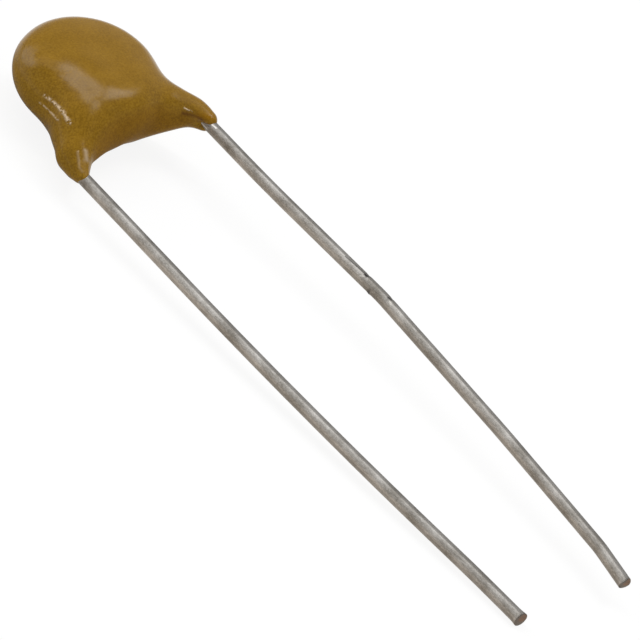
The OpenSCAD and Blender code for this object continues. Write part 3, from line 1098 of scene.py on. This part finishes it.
# %% Scores on the nipped lead
BRIGHT = (0.85, 0.82, 0.76)
SOOT = (0.03, 0.028, 0.028)
SCORES = [
    # both ends, width, strength and colour: along the front and at the nips
    ((-0.06, 0.25, 16.9), (0.02, 0.255, 15.8), 0.03, 0.7, (0.05, 0.047, 0.047)),
    ((-0.087, 0.24, 15.80), (-0.188, 0.17, 15.92), 0.025, 0.8, BRIGHT),
    ((-0.02, 0.255, 14.45), (-0.12, 0.225, 14.2), 0.035, 0.5, BRIGHT),
    ((0.0, 0.255, 15.84), (0.09, 0.24, 15.70), 0.045, 0.9, SOOT),
    ((0.0, 0.255, 14.52), (0.08, 0.24, 14.40), 0.04, 0.8, (0.04, 0.037, 0.037)),
    # at the cut
    ((-0.20, -0.15, 0.0), (-0.16, -0.19, 0.03), 0.06, 0.8, (0.04, 0.03, 0.027)),
    # and where the wire leaves the coat, where the two light strokes are painted glints beside a
    # dark one
    ((-0.255, 0.014, 25.12), (-0.255, 0.005, 24.80), 0.03, 0.75, BRIGHT),
    ((-0.244, -0.074, 25.10), (-0.244, -0.074, 24.72), 0.025, 0.7, (0.10, 0.08, 0.06)),
    ((-0.125, 0.223, 24.82), (-0.096, 0.236, 24.50), 0.03, 0.9, (0.95, 0.93, 0.90)),
]

nipped = tin.attribute("nipped")["Fac"]
for start_at, end_at, width, strength, colour in SCORES:
    score = tin.times(tin.soft_line(drawn, (start_at, end_at, width)), nipped)
    metal = tin.mix(tin.times(score, strength), metal, colour)
metal = tin.mix(tin.times(tin.attribute("jaws")["Fac"], 0.9), metal, SOOT)
tin.shade(Base_Color=metal)
print(len(SCORES), "scores")

# %% [markdown]
# ### Drawing marks
#
# A wire is pulled through a die, and that leaves fine scratches along it.
# Noise that is stretched along the wire makes them, as a bump under the
# mottled grain of the tin.

# %% Roughness and bumps of the tin
TIN_GLOSS, TIN_GRAINY = 0.58, 0.2
STREAKS_PER_MM = (16.0, 16.0, 0.7)
DRAW_MM, MOTTLE_MM = 0.008, 0.006

tin.shade(Roughness=tin.math("MULTIPLY_ADD", mottle["Fine"], TIN_GRAINY, TIN_GLOSS))
streaks = tin.noise(tin.vector("MULTIPLY", drawn, STREAKS_PER_MM), 1.0)
normal = tin.bump(streaks, DRAW_MM, strength=0.15)
tin.shade(Normal=tin.bump(mottle["Fine"], MOTTLE_MM, strength=0.08, normal=normal))
lead.dress(rod, tin)
print("drawing marks are", DRAW_MM, "mm deep")

# %% [markdown]
# ## Make both wires
#
# One tree makes both leads. Each gets its own path, its own cut end, and
# the right one its nip. They take the place of the CAD's plain leads.

# %% The wires as pieces
ENDS = {
    "left": {"Shear": (-0.15, 0.17, 0.0), "Roll": 0.0, "Swell": 0.12,
             "Nip": 0.0, "Nip depth": 0.0},
    "right": {"Shear": (-0.06, -0.06, 0.0), "Roll": 0.1, "Swell": 0.02,
              "Nip": 15.77, "Nip depth": 0.06},
}

for name, points in WIRES.items():
    track_mesh = bpy.data.meshes.new(name + "_track")
    track_mesh.from_pydata(points, [(i, i + 1) for i in range(len(points) - 1)], [])
    wire = make_mesh("wire_" + name, track_mesh, lead,
                     {"Length": path_length(points), **ENDS[name]})
    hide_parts("lead_" + name)
    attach(wire, "root")

# %% [markdown]
# ## The pieces sealed inside
#
# They don't show, but a cutaway would open them: pressed ceramic with a
# fine chalky grain, fired silver, and solder that set with a frosty skin.
# The CAD's own shapes are right, so they only get a finish. It reads Object
# coordinates, which are in metres, so its grain has large numbers.


# %% Finishes of the sealed pieces
GRAIN_MM = 0.01


def sealed(name, metallic, fine, slow, dark, light, rough, spread, relief,
           tone_by="Slow", rough_by="Fine"):
    """A grainy finish. Tone and roughness each follow the fine or the slow grain."""
    finish = Finish(name, Metallic=metallic)
    place = finish.node("ShaderNodeTexCoord").outputs["Object"]
    spots = finish.group(grain, Place=place, Fine=fine, Slow=slow)
    finish.shade(
        Base_Color=finish.ramp(spots[tone_by], (0.3, dark), (0.7, light)),
        Roughness=finish.math("MULTIPLY_ADD", spots[rough_by], spread, rough),
        Normal=finish.bump(spots["Fine"], GRAIN_MM, strength=relief))
    return finish


ceramic = sealed("ceramic", metallic=0.0, fine=9000.0, slow=900.0, dark=(0.55, 0.46, 0.34),
                 light=(0.68, 0.6, 0.48), rough=0.55, spread=0.2, relief=0.3,
                 tone_by="Fine", rough_by="Slow")
silver = sealed("fired_silver", metallic=1.0, fine=7000.0, slow=700.0, dark=(0.7, 0.68, 0.64),
                light=(0.82, 0.81, 0.78), rough=0.35, spread=0.3, relief=0.4)
solder = sealed("set_solder", metallic=1.0, fine=6000.0, slow=1500.0, dark=(0.42, 0.42, 0.43),
                light=(0.58, 0.58, 0.58), rough=0.2, spread=0.35, relief=0.4)

LOOKS = {"ceramic_disc": ceramic, "electrode_front": silver, "electrode_back": silver,
         "solder_front": solder, "solder_back": solder}
for node, look in LOOKS.items():
    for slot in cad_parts[node].material_slots:
        slot.material = look.material
print(len(LOOKS), "sealed pieces dressed")

# %% [markdown]
# ## The paper under it
#
# The part lies on white paper. A lit sheet alone would look grey, so rays
# from the camera and rays that mirror or pass through see most of it at a
# plain strength of 1, and the rest still carries the part's soft shadow.
# Just left of the disc, in the part's shade, it is darker for rays that
# mirror, so that the coat's flank doesn't mirror a white sheet.

# %% Floor
FLOOR_HALF = 3.0
FLOOR_GLOW = 0.88
PAPER = (0.75, 0.75, 0.75)
PAPER_SEEN = (0.97, 0.97, 0.97)
SHADE_AT = (-0.004, 0.0145, 0.0)
SHADE = 0.85
SHADE_FULL = 0.003
SHADE_END = 0.008

corners = [(x * FLOOR_HALF, y * FLOOR_HALF, 0) for x, y in ((-1, -1), (1, -1), (1, 1), (-1, 1))]
floor_mesh = bpy.data.meshes.new("floor")
floor_mesh.from_pydata(corners, [], [(0, 1, 2, 3)])
floor = bpy.data.objects.new("floor", floor_mesh)
collection.objects.link(floor)

paper = Finish("paper", Roughness=0.9)
rays = paper.node("ShaderNodeLightPath").outputs
seen = paper.most(rays["Is Camera Ray"], rays["Is Glossy Ray"])
seen = paper.most(seen, rays["Is Transmission Ray"])
paper.shade(Base_Color=paper.mix(seen, PAPER, PAPER_SEEN))
away = paper.vector("DISTANCE", paper.node("ShaderNodeTexCoord").outputs["Object"], SHADE_AT)
shade = paper.times(paper.fade(away, SHADE_END, SHADE_FULL), rays["Is Glossy Ray"])
glow = paper.node("ShaderNodeEmission", Strength=paper.minus(1.0, paper.times(shade, SHADE)))
sheet = paper.node("ShaderNodeMixShader", Fac=paper.times(seen, FLOOR_GLOW))
paper.put(sheet.inputs[1], paper.bsdf.outputs[0])
paper.put(sheet.inputs[2], glow.outputs[0])
paper.put(paper.tree.nodes["Material Output"].inputs["Surface"], sheet.outputs[0])
floor_mesh.materials.append(paper.material)
print("floor is", 2 * FLOOR_HALF, "m wide")

# %% [markdown]
# ## The sky
#
# An even white room with two walls that are a little brighter, to the right
# and to the upper left. They give the coat its broad, soft sheen, which
# lamps alone would break into spots.

# %% Sky
SKY_LOW = 0.42
# direction of a wall, its edge, how soft that is, and how much brighter it is
RIGHT_WALL = ((0.891, 0.276, 0.359), 0.55, 0.35, 0.45)
LEFT_WALL = ((-0.785, 0.423, 0.453), 0.5, 0.3, 0.4)

world = bpy.data.worlds.new("sky")
bpy.context.scene.world = world
world.use_nodes = True
sky = Tree(world.node_tree)
toward = sky.node("ShaderNodeTexCoord").outputs["Generated"]
glow = SKY_LOW
for middle, edge, softness, strength in (LEFT_WALL, RIGHT_WALL):
    wall = sky.minus(sky.vector("DOT_PRODUCT", toward, middle), edge)
    wall = sky.math("SMOOTH_MAX", wall, 0.0, softness)
    glow = sky.math("MULTIPLY_ADD", wall, strength, glow)
background = world.node_tree.nodes["Background"].inputs
sky.put(background["Color"], (1, 1, 1, 1))
sky.put(background["Strength"], glow)
print("sky starts at", SKY_LOW)

# %% [markdown]
# ## The lamps
#
# The long box draws the bright streak down the front of each wire, the round
# one lights the dome, and the side box and the fill card keep the far side
# open. A box is given by where it stands, how its long side lies, its half
# sizes as seen from the part, and how bright it looks.

# %% Lamps
LAMP_DISTANCE = 0.6
LAMPS_AIM = Vector((0, 0.011, 0.002))
LONG_WAY = (-0.44, 0.54, -0.71)


def softbox(name, towards, long_way, half_width, half_length, radiance, oval=False):
    data = bpy.data.lights.new(name, "AREA")
    data.shape = "ELLIPSE" if oval else "RECTANGLE"
    data.size = 2 * half_width * LAMP_DISTANCE
    data.size_y = 2 * half_length * LAMP_DISTANCE
    area = data.size * data.size_y * (pi / 4 if oval else 1)
    data.energy = radiance * pi * area
    out = Vector(towards).normalized()
    along = Vector(long_way)
    along = (along - out * along.dot(out)).normalized()
    axes = Matrix((along.cross(out), along, out)).transposed().to_4x4()
    lamp = bpy.data.objects.new(name, data)
    lamp.matrix_world = Matrix.Translation(LAMPS_AIM + out * LAMP_DISTANCE) @ axes
    lamp.visible_camera = False
    collection.objects.link(lamp)
    print(name, "gives", round(data.energy, 3), "W")


softbox("long_box", (0.072, 0.485, 0.871), LONG_WAY, 0.06, 0.42, 9.5)
softbox("side_box", (-0.2455, 0.9123, 0.3276), LONG_WAY, 0.16, 0.38, 3.0, oval=True)
softbox("fill_card", (-0.1, -0.85, 0.5), (1, 0, 0), 0.6, 0.6, 0.3)
softbox("round_box", (0.43, -0.02, 0.90), (0, 1, 0), 0.22, 0.22, 7.0, oval=True)
# show the light as it is, without the curve of a film
bpy.context.scene.view_settings.view_transform = "Standard"
